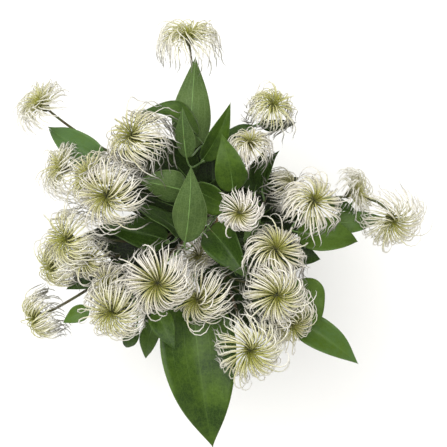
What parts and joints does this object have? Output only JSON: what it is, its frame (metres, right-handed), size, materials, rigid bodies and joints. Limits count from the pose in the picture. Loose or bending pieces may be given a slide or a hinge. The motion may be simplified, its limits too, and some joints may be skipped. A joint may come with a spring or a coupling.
{
  "type": "bunch of clematis seed heads",
  "caption": "Hand-tied bunch of cut clematis in seed: silky, curled seed heads over pointed oval leaves, stems bound with twine and spread below the tie so that it stands.",
  "frame": {"origin": "middle of the middle stem's cut end, on the surface that the bunch stands on", "axes": "+Z up along the bunch's own axis; seen from above with +Y upwards and +X to the right, the bunch lies as in the picture"},
  "size_m": [0.3906, 0.3964, 0.3259],
  "materials": {
    "greenery": "satin",
    "seed_head": "matte",
    "twine": "matte"
  },
  "bodies": {
    "root": {"leafy_stem_01": "greenery", "leafy_stem_02": "greenery", "leafy_stem_03": "greenery", "leafy_stem_04": "greenery", "leafy_stem_05": "greenery", "leafy_stem_06": "greenery", "leafy_stem_07": "greenery", "seed_head_01": "seed_head", "seed_head_02": "seed_head", "seed_head_03": "seed_head", "seed_head_04": "seed_head", "seed_head_05": "seed_head", "seed_head_06": "seed_head", "seed_head_07": "seed_head", "seed_head_08": "seed_head", "seed_head_09": "seed_head", "seed_head_10": "seed_head", "seed_head_11": "seed_head", "seed_head_12": "seed_head", "seed_head_13": "seed_head", "seed_head_14": "seed_head", "seed_head_15": "seed_head", "seed_head_16": "seed_head", "seed_head_17": "seed_head", "seed_head_18": "seed_head", "seed_head_19": "seed_head", "seed_head_20": "seed_head", "seed_head_21": "seed_head", "seed_head_22": "seed_head", "seed_head_23": "seed_head", "seed_head_24": "seed_head", "seed_head_25": "seed_head", "seed_head_26": "seed_head", "binding_twine": "twine"}
  },
  "joints": []
}
